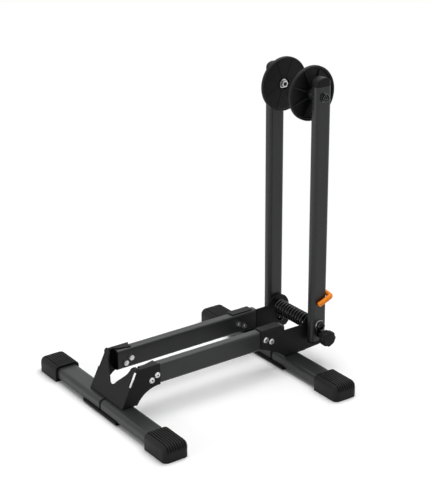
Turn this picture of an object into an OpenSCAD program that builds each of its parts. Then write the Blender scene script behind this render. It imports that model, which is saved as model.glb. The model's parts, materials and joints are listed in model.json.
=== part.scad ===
// Folding floor stand that holds a bicycle by one wheel.
// X runs rearwards along the rails, Y to the far side, Z up; the floor is at z = 0.

/* [Feet] */
// Distance between the centres of the two cross feet
foot_pitch = 400; // [330:1:480]
// Length of a foot over its rubber boots
foot_len = 470; // [400:1:560]
// Width of the flat-oval foot tube
foot_w = 45; // [40:0.5:50]
// Height of the foot tube
foot_h = 25; // [23:0.5:30]
// Corner radius of the foot tube
foot_r = 8; // [6:0.5:10]
// Wall of every steel tube
tube_wall = 1.8; // [1.4:0.1:2.4]
// Sole of a boot under the tube
boot_sole = 3.4; // [3.2:0.1:6]
// Side wall of a boot
boot_wall = 5; // [4:0.1:6]
// Cover of a boot above the tube, ridges left out
boot_cover = 4; // [3:0.1:6]
// Length of a boot
boot_len = 69; // [56:1:84]
// Radius of a boot's rounded toe
boot_toe = 24; // [16:1:26]
// Ridges on top of a boot
boot_ridges = 9; // [6:1:11]
// Height of a boot ridge
ridge_h = 1.6; // [0.8:0.1:2.2]
// Place of the joint in the rear foot, from its middle to the far side
rear_joint = -20; // [-26:1:26]
// Length of the joiner that plugs the two halves of a foot together
joiner_len = 130; // [110:1:170]
// Width of the joiner's visible middle band
joiner_band = 3; // [2:0.5:6]
// Length of the clamp plate under a foot
clamp_len = 124; // [110:1:150]
// Sheet thickness of the clamp plate
clamp_t = 2; // [1.5:0.1:2.4]
// Height of the clamp plate's upturned edges
clamp_edge = 5.5; // [4:0.5:8]
// Distance of the two clamp studs from the middle of a foot
stud_y = 36; // [26:1:46]
// Radius of a clamp stud
stud_r = 3; // [2.5:0.25:4]

/* [Rails] */
// Height of a rail tube
rail_h = 42; // [36:1:50]
// Thickness of a rail tube
rail_t = 20; // [16:1:22]
// Corner radius of a rail tube
rail_r = 5; // [3:0.5:6.5]
// Clear gap between the two rails, where the wheel stands
rail_gap = 74; // [66:1:90]
// Height of the rails' lower edge above the floor
rail_z = 58; // [54:1:70]
// Setback of the rails' front end behind the front foot
rail_front = 44; // [40:1:50]
// Setback of the rails' rear end in front of the rear foot
rail_rear = 20; // [18:1:24]
// Radius of a rail bolt
rail_bolt_r = 3; // [2.5:0.25:3.5]

/* [Brackets] */
// Sheet thickness of both pressed brackets
sheet = 2.4; // [2:0.1:3]
// Backward lean of the front plate from upright
plate_lean = 26; // [20:1:30]
// Length of the front plate up its slope, to the tips of its horns
plate_len = 87; // [82:1:94]
// Height up the slope of the bottom of the tyre notch
notch_low = 32; // [28:1:38]
// Radius of the bottom of the tyre notch
notch_r = 12; // [9:0.5:14]
// Half width of the tyre notch below its flared mouth
notch_mouth = 40; // [37:0.5:42]
// Width of the slit between the front plate and its side cheeks
slit_w = 5; // [3:0.5:6]
// Reach of the front cheeks behind the front foot
cheek_len = 79.5; // [77:0.5:90]
// Radius of the curved lower edge of a front cheek
cheek_curve = 57; // [50:1:60]
// Width of the lips folded in over the rails
lip_w = 20; // [14:1:22]
// Reach of the rear bracket in front of the rear foot
rear_reach = 78; // [74:1:86]
// Height of the rear bracket's side walls between rail and pivot
wall_top = 88.5; // [84:0.5:92]
// Radius of the ear round the pivot
ear_r = 28; // [25:0.5:31]

/* [Uprights] */
// Distance of the pivot behind the rear foot
post_behind = 52.5; // [46:0.5:60]
// Height of the pivot above the floor
pivot_z = 90; // [86:0.5:94]
// Distance from the pivot up to the roller axles
arm_len = 481; // [420:1:540]
// Width of a post tube, front to back
post_w = 38; // [34:1:44]
// Thickness of a post tube
post_t = 20; // [18:1:24]
// Corner radius of a post tube
post_r = 8; // [6:0.5:8.5]
// Length of post below the pivot
post_tail = 35; // [33:1:42]
// Length of post above the roller axle
post_head = 21; // [16:1:26]
// Height of the arched cap on a post
post_cap_h = 18; // [14:0.5:22]
// Radius of the pivot rod
rod_r = 5; // [4:0.25:6]

/* [Rollers] */
// Diameter of a roller
roller_d = 110; // [96:1:120]
// Width of a roller's rim
roller_rim_w = 8; // [7.5:0.5:12]
// Radial depth of a roller's rim
roller_rim_t = 6; // [4:0.5:8]
// Clear gap between the two rollers' rims, where the tyre stands
roller_gap = 79; // [70:1:86]
// Stiffening ribs on each face of a roller
roller_ribs = 8; // [5:1:10]
// Radius of a roller's axle bolt
axle_r = 4; // [3.5:0.25:5]

/* [Spring] */
// Radius of the spring wire
wire_r = 2.2; // [1.8:0.1:2.5]
// Mean radius of the spring coil
coil_r = 13.8; // [12.6:0.2:15]
// Number of whole turns in the coil
coil_turns = 11; // [8:1:13]
// Length of the coil between its first and last wire centre
coil_len = 94; // [84:1:98]
// Height of the hooked end above the pivot
hook_z = 71; // [64:1:78]
// Radius of the soft grip on the hooked end
grip_r = 4.6; // [3.8:0.1:5.2]
// Length of the grip's free arm across the post
grip_arm = 28; // [20:1:32]
// Fall of the grip's free arm, per millimetre of its length
grip_fall = 0.45; // [0.3:0.05:0.7]

/* [Lock knob] */
// Diameter of the lobed knob over its lobes
knob_d = 34; // [28:1:36]
// Length of the knob's gripping part
knob_len = 17; // [12:1:22]
// Number of lobes round the knob
knob_lobes = 8; // [5:1:10]
// Clear gap between the pivot washer and the lock screw's boss
lock_gap = 2; // [0.4:0.1:3]
// Radius of the lock screw
lock_r = 4; // [3.5:0.25:4.5]
// Travel of the clamp pad when the knob is backed off
pad_travel = 2.5; // [1.5:0.25:3]

/* [Hidden] */
$fn = 64;
// Clearances: faces that meet, sleeves that slide, shafts that turn, bodies that pass each other
fit = 0.15;
hole_gap = 0.25;
run_gap = 0.05;
pass_gap = 0.4;
// Depth to which pieces of one body run into each other
overlap = 0.5;

// Places along X, worked out so that the origin is below the middle of the whole stand
boot_w = foot_w + 2 * boot_wall;
reach = boot_w / 2 + foot_pitch + post_behind + roller_d / 2;
front_x = boot_w / 2 - reach / 2;
rear_x = front_x + foot_pitch;
pivot_x = rear_x + post_behind;

// Feet
foot_z = boot_sole + foot_h / 2;
foot_top = boot_sole + foot_h;
boot_h = foot_top + boot_cover;
half_foot = foot_len / 2;
boot_mouth = half_foot - boot_len;
boot_shoulder = 12;
boot_corner = 10;
boot_hem = 1.5;
boot_lip = 3;
mouth_r = 2;
ridge_low = 21;
ridge_edge = 3.5;
ridge_field = boot_w - 2 * ridge_edge;
boot_tip = 16;
tube_end = half_foot - boot_tip;
stud_front_dx = 9.5;
stud_nut_af = 10;
stud_nut_h = 5;
stud_top = foot_top + sheet + stud_nut_h + 2;
clamp_z = boot_sole - clamp_t;
clamp_w = foot_w + 2 * (clamp_t + fit);

// Rails and the sheet walls outside them
rail_in = rail_gap / 2;
rail_out = rail_in + rail_t;
rail_top = rail_z + rail_h;
rail_x0 = front_x + rail_front;
rail_x1 = rear_x - rail_rear;
wall_in = rail_out;
wall_out = wall_in + sheet;
lip_z = rail_top + fit;
lip_in = wall_out - lip_w;
bolt_head_r = 6.2;
bolt_head_h = 2.4;
bolt_rim = 0.8;
bolt_round = 1.6;
bolt_key_r = 2.3;
bolt_key_depth = 1.5;
nut_af = 10;
nut_h = 5;
rail_mid = rail_z + rail_h / 2;
front_bolts = [[cheek_len - 19.2, -7.3], [cheek_len - 6.5, 0.6]];
rear_bolts = [[12 - rear_reach, 0.9], [26.3 - rear_reach, -6.3]];

// Front bracket
fold_r = sheet - 0.4;
fold_crease = 0.06;
fold_x = front_x - 9.2;
slit_low = 46;
slit_len = 31;
slit_back = 3;
horn_cut = 9;
horn_drop = 5.5;
curve_back = 3.5;
lip_front = 4.5;
lip_taper = 43;
lip_short = 6;
// Notch side: shares of its half width, and of its depth above the bottom
notch_side = [[0.2, 0.06], [0.36, 0.2], [0.625, 0.404], [0.825, 0.564], [0.92, 0.66], [0.975, 0.75],
    [1, 0.83], [1.05, 0.89], [1.14, 0.94], [1.28, 1], [1.42, 1.06]];
cheek_x = front_x + cheek_len;
cheek_top_s = (lip_z + sheet - foot_top) / cos(plate_lean);

// Rear bracket
ear_z = pivot_z - 10;
ear_x = pivot_x + 2;
web_front = rear_x - 15;
web_rear = rear_x + foot_w / 2 + 14;
lip_rear = rail_x1 - 8;
tail_z = foot_top + 4.5;
tail_cut = 7;
lip_slope = 10;
// Lower edge of the rear wall: place from the rear foot, share of the height from foot to rail
wall_edge = [[-56, 0.85], [-38, 0.53], [-26, 0.28], [-17, 0.05], [-9, 0], [10, 0]];

// Posts and pivot
flange_t = 3.2;
post_in = wall_out + flange_t + pass_gap;
post_mid = post_in + post_t / 2;
post_out = post_in + post_t;
post_z0 = pivot_z - post_tail;
axle_z = pivot_z + arm_len;
post_z1 = axle_z + post_head;
plug_depth = 11;
post_plug_depth = 6;
bush_wall = 2.5;
bush_r = rod_r + bush_wall;
flange_rim = 6;
flange_r = rod_r + flange_rim;
bush_nose = 1.5;
bush_in = wall_in - bush_nose;
washer_t = 1.6;
rod_washer_rim = 5.5;
rod_washer_r = rod_r + rod_washer_rim;
rod_nut_af = 17;
rod_nut_h = 5.5;
rod_dome_r = 7.6;
rod_end = post_out + washer_t + rod_nut_h + 3;

// Rollers
roller_r = roller_d / 2;
roller_in = roller_gap / 2;
sleeve_wall = 2;
sleeve_r = axle_r + sleeve_wall;
hub_wall = 8;
hub_r = sleeve_r + hub_wall;
hub_out = post_in - pass_gap - roller_in;
pocket_r = hub_r - 2.5;
pocket_a = 8;
hub_in = 1.5;
web_t = 3;
web_a = (roller_rim_w - web_t) / 2;
rim_soft = 1.5;
rim_in_r = roller_r - roller_rim_t;
hub_step = 6;
hub_round = 3;
rib_out_t = 2.8;
rib_in_t = 2.4;
axle_washer_t = 1.6;
axle_washer_rim = 5.6;
axle_washer_r = axle_r + axle_washer_rim;
axle_nut_af = 13;
axle_nut_h = 6;
axle_head_rim = 3.4;
axle_head_r = axle_r + axle_head_rim;
axle_flange_rim = 2.2;
axle_head_h = 5;
sleeve_in = roller_in + pocket_a - pass_gap;
axle_end = sleeve_in - axle_washer_t - axle_nut_h;

// Spring: the coil hangs on the rod, drawn forward by its legs, and the near leg hooks round the near post
wire_d = 2 * wire_r;
rings = 8;
sides = 6;
hang_gap = 0.35;
hang_turn = 35;
hang = coil_r * cos(180 / rings) - wire_r - rod_r - hang_gap;
coil_x = pivot_x - hang * sin(hang_turn);
coil_z = pivot_z - hang * cos(hang_turn);
leg_y = coil_len / 2;
hook_x = pivot_x + post_w / 2 + grip_r + pass_gap;
hook_top = pivot_z + hook_z;
hook_y = post_out + grip_r + pass_gap;
hook_drop = 11;
hook_bend = 9;
leg_bend = 5;
tang_z = pivot_z - 38;
tang_end = wall_out + pass_gap;
hook_dx = hook_x - coil_x;
hook_dz = hook_top - coil_z;
hook_d = norm([hook_dx, hook_dz]);
leg_phi = atan2(hook_dz, hook_dx) - acos(coil_r / hook_d);

// Lock
boss_wall = 3;
boss_r = lock_r + boss_wall;
lock_z = pivot_z - rod_washer_r - boss_r - lock_gap;
boss_len = 8;
boss_in = post_out - 8;
knob_cover = 5;
knob_in = post_out + boss_len + pad_travel + 8;
pad_r = 5.6;
pad_out = post_in - pass_gap;
pad_gap = 0.3;
pad_in = wall_out + pad_gap;
tip_r = 2.5;
tip_len = 1.4;

charcoal = "#3e403f";
satin_black = "#262626";
rubber_black = "#222222";
zinc = "#c9ccce";
black_oxide = "#1b1b1c";
safety_orange = "#f08020";

// Plain building blocks

module round_rect(w, h, r) {
    square([w - 2 * r, h], center = true);
    square([w, h - 2 * r], center = true);
    for (x = [-1, 1], y = [-1, 1])
        translate([x * (w / 2 - r), y * (h / 2 - r)])
            circle(r);
}

module tube_section(w, h, r, t) {
    difference() {
        round_rect(w, h, r);
        round_rect(w - 2 * t, h - 2 * t, r - t);
    }
}

// A flat outline in (y, z) drawn out along X
module along_x(x0, len) {
    translate([x0, 0, 0])
        rotate([90, 0, 90])
            linear_extrude(len)
                children();
}

// A flat outline in (x, z) drawn out along Y
module along_y(y0, len) {
    translate([0, y0 + len, 0])
        rotate([90, 0, 0])
            linear_extrude(len)
                children();
}

module rod_y(x, z, y0, y1, r) {
    translate([x, y1, z])
        rotate([90, 0, 0])
            cylinder(h = y1 - y0, r = r);
}

module ring_y(x, z, y0, y1, r, bore) {
    difference() {
        rod_y(x, z, y0, y1, r);
        rod_y(x, z, y0 - 1, y1 + 1, bore);
    }
}

module hex_y(x, z, y0, y1, across) {
    translate([x, y1, z])
        rotate([90, 0, 0])
            cylinder(h = y1 - y0, r = across / sqrt(3), $fn = 6);
}

module nut_y(x, z, y0, y1, across, bore) {
    difference() {
        hex_y(x, z, y0, y1, across);
        rod_y(x, z, y0 - 1, y1 + 1, bore);
    }
}

// Turns a profile of (radius, distance outwards from y0) about an axle at (x, z), on the far side
module turned(x, y0, z) {
    translate([x, y0, z])
        rotate([-90, 0, 0])
            rotate_extrude()
                children();
}

// Draws a far-side piece on the far side, or mirrored on the near side
module on_side(far) {
    if (far)
        children();
    else
        mirror([0, 1, 0])
            children();
}

module both_sides() {
    for (far = [false, true])
        on_side(far)
            children();
}

// Feet

module stud_holes(x, r) {
    for (y = [-stud_y, stud_y])
        translate([x, y, -1])
            cylinder(h = foot_top + 20, r = r);
}

function stud_x(foot_x) = foot_x + (foot_x == front_x ? stud_front_dx : 0);

module foot_tube(foot_x, joint) {
    start = joint + joiner_band / 2;
    difference() {
        along_y(start, tube_end - start)
            translate([foot_x, foot_z])
                tube_section(foot_w, foot_h, foot_r, tube_wall);
        stud_holes(stud_x(foot_x), stud_r + hole_gap);
    }
}

// Plug inside both halves of a foot, with a band that shows between them
module foot_joiner(foot_x, joint) {
    slim = 2 * (tube_wall + fit);
    difference() {
        union() {
            along_y(joint - joiner_len / 2, joiner_len)
                translate([foot_x, foot_z])
                    tube_section(foot_w - slim, foot_h - slim, foot_r - slim / 2, tube_wall);
            along_y(joint - joiner_band / 2, joiner_band)
                translate([foot_x, foot_z])
                    tube_section(foot_w, foot_h, foot_r, 2 * tube_wall + fit);
        }
        stud_holes(stud_x(foot_x), stud_r + hole_gap);
    }
}

// Rectangle from the origin to (w, h), each corner rounded by its own radius
module soft_rect(w, h, low_left, low_right, top_left, top_right) {
    difference() {
        square([w, h]);
        corner_cut(0, 0, 1, 1, low_left);
        corner_cut(w, 0, -1, 1, low_right);
        corner_cut(0, h, 1, -1, top_left);
        corner_cut(w, h, -1, -1, top_right);
    }
}

// What rounding takes off the corner at (x, y) of an outline that lies towards (sx, sy)
module corner_cut(x, y, sx, sy, r) {
    if (r > 0)
        translate([x, y])
            difference() {
                translate([min(0, sx * r) - (sx > 0 ? 1 : 0), min(0, sy * r) - (sy > 0 ? 1 : 0)])
                    square(r + 1);
                translate([sx * r, sy * r])
                    circle(r);
            }
}

// Boot without its bore, grown on top and at the toe by what its ridges stand out
module boot_form(grow) {
    intersection() {
        along_y(boot_mouth, boot_len + grow)
            translate([-boot_w / 2 - grow, 0])
                soft_rect(boot_w + 2 * grow, boot_h + grow, boot_hem, boot_hem,
                    boot_shoulder + grow, boot_shoulder + grow);
        along_x(-boot_w / 2 - grow, boot_w + 2 * grow)
            translate([boot_mouth, 0])
                soft_rect(boot_len + grow, boot_h + grow, 0, boot_hem, 0, boot_toe + grow);
    }
}

// Boot: shouldered section, rounded toe and rounded plan, with ridges that run over the toe
module boot(foot_x) {
    ridge_step = ridge_field / boot_ridges;
    translate([foot_x, 0, 0])
        difference() {
            intersection() {
                union() {
                    boot_form(0);
                    intersection() {
                        boot_form(ridge_h);
                        for (i = [0:boot_ridges - 1])
                            translate([(i + 0.25) * ridge_step - ridge_field / 2, boot_mouth + boot_lip,
                                ridge_low])
                                cube([ridge_step / 2, boot_len, boot_h]);
                    }
                }
                translate([-boot_w / 2, boot_mouth, 0])
                    linear_extrude(boot_h + ridge_h)
                        soft_rect(boot_w, boot_len, mouth_r, mouth_r, boot_corner, boot_corner);
            }
            along_y(boot_mouth - 1, tube_end + fit - boot_mouth + 1)
                translate([0, foot_z])
                    round_rect(foot_w + 2 * fit, foot_h + 2 * fit, foot_r + fit);
        }
}

module clamp_plate(foot_x) {
    difference() {
        along_y(-clamp_len / 2, clamp_len)
            translate([foot_x, clamp_z])
                difference() {
                    translate([-clamp_w / 2, 0])
                        soft_rect(clamp_w, clamp_t + clamp_edge, clamp_t, clamp_t, 0, 0);
                    translate([-clamp_w / 2 + clamp_t, clamp_t])
                        square([clamp_w - 2 * clamp_t, clamp_edge + 1]);
                }
        stud_holes(stud_x(foot_x), stud_r + fit);
    }
}

module front_foot_tube_near() { color(charcoal) on_side(false) foot_tube(front_x, 0); }
module front_foot_tube_far() { color(charcoal) on_side(true) foot_tube(front_x, 0); }
module rear_foot_tube_near() { color(charcoal) on_side(false) foot_tube(rear_x, -rear_joint); }
module rear_foot_tube_far() { color(charcoal) on_side(true) foot_tube(rear_x, rear_joint); }
module front_foot_joiner() { color(rubber_black) foot_joiner(front_x, 0); }
module rear_foot_joiner() { color(rubber_black) foot_joiner(rear_x, rear_joint); }
module front_boot_near() { color(rubber_black) on_side(false) boot(front_x); }
module front_boot_far() { color(rubber_black) on_side(true) boot(front_x); }
module rear_boot_near() { color(rubber_black) on_side(false) boot(rear_x); }
module rear_boot_far() { color(rubber_black) on_side(true) boot(rear_x); }
module front_clamp_plate() { color(satin_black) clamp_plate(front_x); }
module rear_clamp_plate() { color(satin_black) clamp_plate(rear_x); }

module clamp_studs() {
    color(zinc)
        for (foot_x = [front_x, rear_x], y = [-stud_y, stud_y])
            translate([stud_x(foot_x), y, clamp_z])
                cylinder(h = stud_top - clamp_z, r = stud_r);
}

module clamp_nuts() {
    color(zinc)
        for (foot_x = [front_x, rear_x], y = [-stud_y, stud_y])
            translate([stud_x(foot_x), y, foot_top + sheet])
                difference() {
                    cylinder(h = stud_nut_h, r = stud_nut_af / sqrt(3), $fn = 6);
                    translate([0, 0, -1])
                        cylinder(h = stud_nut_h + 2, r = stud_r + run_gap);
                }
}

// Pressed brackets

// Front plate outline in (y, distance up the slope)
module plate_outline() {
    depth = plate_len - notch_low;
    difference() {
        polygon([[-wall_out, 0], [wall_out, 0], [wall_out, plate_len - horn_drop],
            [wall_out - horn_cut, plate_len], [horn_cut - wall_out, plate_len],
            [-wall_out, plate_len - horn_drop]]);
        translate([0, notch_low + notch_r])
            circle(notch_r);
        polygon(concat([for (p = notch_side) [p[0] * notch_mouth, notch_low + p[1] * depth]],
            [for (i = [len(notch_side) - 1:-1:0])
                [-notch_side[i][0] * notch_mouth, notch_low + notch_side[i][1] * depth]]));
    }
}

// Front cheek outline in (x, z), with its lower edge swept up in an arc
module cheek_outline() {
    difference() {
        polygon([[fold_x, foot_top], [fold_x + cheek_top_s * sin(plate_lean), lip_z + sheet],
            [cheek_x, lip_z + sheet], [cheek_x, foot_top]]);
        translate([cheek_x - curve_back, rail_z - cheek_curve])
            circle(cheek_curve);
    }
}

// Puts a piece on the front plate: X out of its back, Z up its slope
module on_plate() {
    translate([fold_x, 0, foot_top])
        rotate([0, plate_lean, 0])
            children();
}

// What the bend takes off a folded edge of the sheet that runs along X
module fold_along_x(x0, x1, z, way) {
    both_sides()
        along_x(x0, x1 - x0)
            corner_cut(wall_out, z, -1, way, fold_r);
}

// Lips folded in over the rails; nose is the outline of their front end, from the fold inwards
module lips(nose, x1) {
    both_sides()
        translate([0, 0, lip_z])
            linear_extrude(sheet)
                polygon(concat(nose, [[x1, lip_in], [x1, wall_out]]));
}

module bracket_bolt_holes(foot_x, spots) {
    for (p = spots)
        rod_y(foot_x + p[0], rail_mid + p[1], -wall_out - 1, wall_out + 1, rail_bolt_r + hole_gap);
}

module front_bracket() {
    lip_x0 = fold_x + cheek_top_s * sin(plate_lean) + lip_front;
    color(satin_black)
        difference() {
            union() {
                on_plate()
                    rotate([90, 0, 90])
                        linear_extrude(sheet)
                            plate_outline();
                translate([fold_x, -wall_out, foot_top])
                    cube([front_x + foot_w / 2 - fold_x, 2 * wall_out, sheet]);
                both_sides()
                    along_y(wall_in, sheet)
                        cheek_outline();
                lips([[lip_x0, wall_out], [lip_x0 + 0.24 * lip_taper, wall_out - 0.42 * lip_w],
                    [lip_x0 + 0.4 * lip_taper, wall_out - 0.67 * lip_w], [lip_x0 + lip_taper, lip_in]],
                    max(cheek_x - lip_short, lip_x0 + lip_taper + 1));
            }
            bracket_bolt_holes(front_x, front_bolts);
            stud_holes(stud_x(front_x), stud_r + hole_gap);
            both_sides()
                on_plate() {
                    translate([-1, wall_in - slit_w, slit_low])
                        cube([slit_back + 1, slit_w + sheet + 1, slit_len]);
                    translate([0, 0, -sheet])
                        linear_extrude(plate_len)
                            difference() {
                                translate([-1, wall_out - fold_r])
                                    square(fold_r + 1);
                                translate([fold_r, wall_out - fold_r])
                                    circle(fold_r + fold_crease);
                            }
                }
            fold_along_x(lip_x0, cheek_x, lip_z + sheet, -1);
            fold_along_x(fold_x - 1, front_x + foot_w / 2 + 1, foot_top, 1);
            translate([fold_x - cheek_len, -2 * wall_out, 0])
                cube([3 * cheek_len, 4 * wall_out, foot_top]);
        }
}

// Rear side wall outline in (x, z): clasps the rail, drops to the foot, rises to the pivot ear
module rear_wall_outline() {
    polygon(concat([[rear_x - rear_reach, lip_z + sheet], [rear_x - rear_reach, rail_z + 4]],
        [for (p = wall_edge) [rear_x + p[0], foot_top + p[1] * (rail_z - foot_top)]],
        [[ear_x + ear_r - tail_cut, tail_z], [ear_x + ear_r, tail_z + tail_cut], [ear_x + ear_r, ear_z],
            [ear_x - ear_r, ear_z], [ear_x - ear_r, wall_top], [lip_rear + lip_slope, wall_top],
            [lip_rear, lip_z + sheet]]));
    translate([ear_x, ear_z])
        circle(ear_r);
}

module rear_bracket() {
    color(satin_black)
        difference() {
            union() {
                both_sides()
                    along_y(wall_in, sheet)
                        rear_wall_outline();
                translate([web_front, -wall_out, foot_top])
                    cube([web_rear - web_front, 2 * wall_out, sheet]);
                lips([[rear_x - rear_reach, wall_out], [rear_x - rear_reach, lip_in]], lip_rear);
            }
            bracket_bolt_holes(rear_x, rear_bolts);
            stud_holes(stud_x(rear_x), stud_r + hole_gap);
            rod_y(pivot_x, pivot_z, -wall_out - 1, wall_out + 1, bush_r + fit);
            rod_y(tang_x, tang_z, wall_in - 1, wall_out + 1, wire_r + pass_gap);
            fold_along_x(rear_x - rear_reach - 1, lip_rear + 1, lip_z + sheet, -1);
            fold_along_x(web_front - 1, web_rear + 1, foot_top, 1);
        }
}

// Rails

module rail_holes() {
    bracket_bolt_holes(front_x, front_bolts);
    bracket_bolt_holes(rear_x, rear_bolts);
}

module rail() {
    difference() {
        along_x(rail_x0, rail_x1 - rail_x0)
            translate([rail_in + rail_t / 2, rail_mid])
                tube_section(rail_t, rail_h, rail_r, tube_wall);
        rail_holes();
    }
}

module rail_near() { color(charcoal) on_side(false) rail(); }
module rail_far() { color(charcoal) on_side(true) rail(); }

module rail_plug(x, way) {
    slim = 2 * (tube_wall + fit);
    lid = 2;
    translate([x, rail_in + rail_t / 2, rail_mid])
        rotate([90, 0, way > 0 ? 90 : -90]) {
            linear_extrude(lid)
                round_rect(rail_t, rail_h, rail_r);
            translate([0, 0, -plug_depth])
                linear_extrude(plug_depth + lid)
                    round_rect(rail_t - slim, rail_h - slim, rail_r - slim / 2);
        }
}

module rail_plugs() {
    color(rubber_black)
        both_sides() {
            rail_plug(rail_x0, -1);
            rail_plug(rail_x1, 1);
        }
}

module at_rail_bolts() {
    for (far = [false, true]) {
        for (p = front_bolts)
            on_side(far)
                translate([front_x + p[0], 0, rail_mid + p[1]])
                    children();
        for (p = rear_bolts)
            on_side(far)
                translate([rear_x + p[0], 0, rail_mid + p[1]])
                    children();
    }
}

module rail_bolts() {
    color(zinc)
        at_rail_bolts()
            difference() {
                union() {
                    turned(0, wall_out, 0)
                        polygon([[0, 0], [bolt_head_r, 0], [bolt_head_r, bolt_rim],
                            [bolt_head_r - bolt_round, bolt_head_h], [0, bolt_head_h]]);
                    rod_y(0, 0, rail_in - nut_h - 1, wall_out + overlap, rail_bolt_r);
                }
                translate([0, wall_out + bolt_head_h + 1, 0])
                    rotate([90, 0, 0])
                        cylinder(h = bolt_key_depth + 1, r = bolt_key_r, $fn = 6);
            }
}

module rail_nuts() {
    color(zinc)
        at_rail_bolts()
            nut_y(0, 0, rail_in - nut_h, rail_in, nut_af, rail_bolt_r + run_gap);
}

// Pivot

module pivot_bushes() {
    color(rubber_black)
        both_sides()
            difference() {
                union() {
                    rod_y(pivot_x, pivot_z, bush_in, wall_out + overlap, bush_r);
                    rod_y(pivot_x, pivot_z, wall_out, wall_out + flange_t, flange_r);
                }
                rod_y(pivot_x, pivot_z, bush_in - 1, wall_out + flange_t + 1, rod_r + run_gap);
            }
}

module pivot_rod() {
    color(zinc)
        rod_y(pivot_x, pivot_z, -rod_end, rod_end, rod_r);
}

module pivot_washers() {
    color(black_oxide)
        both_sides()
            ring_y(pivot_x, pivot_z, post_out, post_out + washer_t, rod_washer_r, rod_r + hole_gap);
}

// Domed cap nut: a hexagon with a round dome, hollow over the end of the rod
module pivot_nuts() {
    seat = post_out + washer_t;
    dome_h = 6;
    color(black_oxide)
        both_sides()
            difference() {
                union() {
                    hex_y(pivot_x, pivot_z, seat, seat + rod_nut_h, rod_nut_af);
                    turned(pivot_x, seat + rod_nut_h - overlap, pivot_z)
                        polygon([[0, 0], [rod_dome_r, 0], [rod_dome_r, dome_h * 0.25],
                            [rod_dome_r * 0.88, dome_h * 0.62], [rod_dome_r * 0.6, dome_h * 0.88],
                            [rod_dome_r * 0.25, dome_h], [0, dome_h]]);
                }
                rod_y(pivot_x, pivot_z, seat - 1, rod_end + hole_gap, rod_r + run_gap);
            }
}

// Posts

module post_tube() {
    translate([pivot_x, post_mid, post_z0])
        linear_extrude(post_z1 - post_z0)
            tube_section(post_w, post_t, post_r, tube_wall);
}

module post_holes() {
    rod_y(pivot_x, pivot_z, post_in - 1, post_out + 1, rod_r + hole_gap);
    rod_y(pivot_x, axle_z, post_in - 1, post_out + 1, axle_r + hole_gap);
}

module post_far() {
    color(charcoal)
        difference() {
            post_tube();
            post_holes();
        }
}

// The near post also carries the lock: a boss in its outer wall, a hole for the pad in its inner wall
module post_near() {
    color(charcoal)
        on_side(false)
            difference() {
                post_tube();
                post_holes();
                rod_y(pivot_x, lock_z, post_mid, post_out + 1, boss_r + fit);
                rod_y(pivot_x, lock_z, post_in - 1, post_mid, pad_r + pass_gap);
            }
}

// Cap: the tube's own outline, cut off on top in an arch that runs through from side to side
module post_cap() {
    shoulder = 5;
    rise = post_cap_h - shoulder;
    arch_r = (rise * rise + post_w * post_w / 4) / (2 * rise);
    slim = 2 * (tube_wall + fit);
    translate([pivot_x, post_mid, post_z1]) {
        intersection() {
            linear_extrude(post_cap_h)
                round_rect(post_w, post_t, post_r);
            union() {
                rod_y(0, post_cap_h - arch_r, -post_t, post_t, arch_r);
                translate([-post_w, -post_t, 0])
                    cube([2 * post_w, 2 * post_t, shoulder * 0.4]);
            }
        }
        translate([0, 0, -plug_depth])
            linear_extrude(plug_depth + 1)
                round_rect(post_w - slim, post_t - slim, post_r - slim / 2);
    }
}

module post_cap_near() { color(rubber_black) on_side(false) post_cap(); }
module post_cap_far() { color(rubber_black) on_side(true) post_cap(); }

module post_plugs() {
    slim = 2 * (tube_wall + fit);
    lid = 2.5;
    color(rubber_black)
        both_sides()
            translate([pivot_x, post_mid, post_z0 - lid]) {
                linear_extrude(lid)
                    round_rect(post_w, post_t, post_r);
                linear_extrude(lid + post_plug_depth)
                    round_rect(post_w - slim, post_t - slim, post_r - slim / 2);
            }
}

// Roller axles

module axle_bolts() {
    socket_af = 5;
    socket_depth = 3.5;
    color(black_oxide)
        both_sides()
            difference() {
                union() {
                    rod_y(pivot_x, axle_z, axle_end, post_out + overlap, axle_r);
                    rod_y(pivot_x, axle_z, post_out, post_out + axle_washer_t, axle_head_r + axle_flange_rim);
                    rod_y(pivot_x, axle_z, post_out, post_out + axle_head_h + axle_washer_t, axle_head_r);
                }
                translate([pivot_x, post_out + axle_head_h + axle_washer_t + 1, axle_z])
                    rotate([90, 0, 0])
                        cylinder(h = socket_depth + 1, r = socket_af / sqrt(3), $fn = 6);
            }
}

module axle_sleeves() {
    color(zinc)
        both_sides()
            ring_y(pivot_x, axle_z, sleeve_in, post_in, sleeve_r, axle_r + fit);
}

module axle_washers() {
    color(zinc)
        both_sides()
            ring_y(pivot_x, axle_z, sleeve_in - axle_washer_t, sleeve_in, axle_washer_r, axle_r + fit);
}

module axle_nuts() {
    color(zinc)
        both_sides()
            nut_y(pivot_x, axle_z, axle_end, sleeve_in - axle_washer_t, axle_nut_af, axle_r + run_gap);
}

// Rollers: a rim, a dished web and a long hub, with gusset ribs outside and flat ribs inside

module roller_body() {
    turned(pivot_x, roller_in, axle_z) {
        polygon([[rim_in_r, rim_soft], [rim_in_r + rim_soft, 0], [roller_r - rim_soft, 0],
            [roller_r, rim_soft], [roller_r, roller_rim_w - rim_soft], [roller_r - rim_soft, roller_rim_w],
            [rim_in_r + rim_soft, roller_rim_w], [rim_in_r, roller_rim_w - rim_soft]]);
        polygon([[hub_r - 1, web_a], [rim_in_r + 1, web_a - 1], [rim_in_r + 1, web_a + web_t - 1],
            [hub_r - 1, web_a + web_t]]);
        polygon([[sleeve_r + run_gap, pocket_a], [pocket_r, pocket_a], [pocket_r, hub_in], [hub_r, hub_in],
            [hub_r, pocket_a + hub_step], [hub_r - hub_round, hub_out], [sleeve_r + run_gap, hub_out]]);
    }
}

module roller_rib(profile, t) {
    translate([pivot_x, roller_in, axle_z])
        rotate([-90, 0, 0])
            for (i = [0:roller_ribs - 1])
                rotate([90, 0, (i + 0.5) * 360 / roller_ribs])
                    translate([0, 0, -t / 2])
                        linear_extrude(t)
                            polygon(profile);
}

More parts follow.
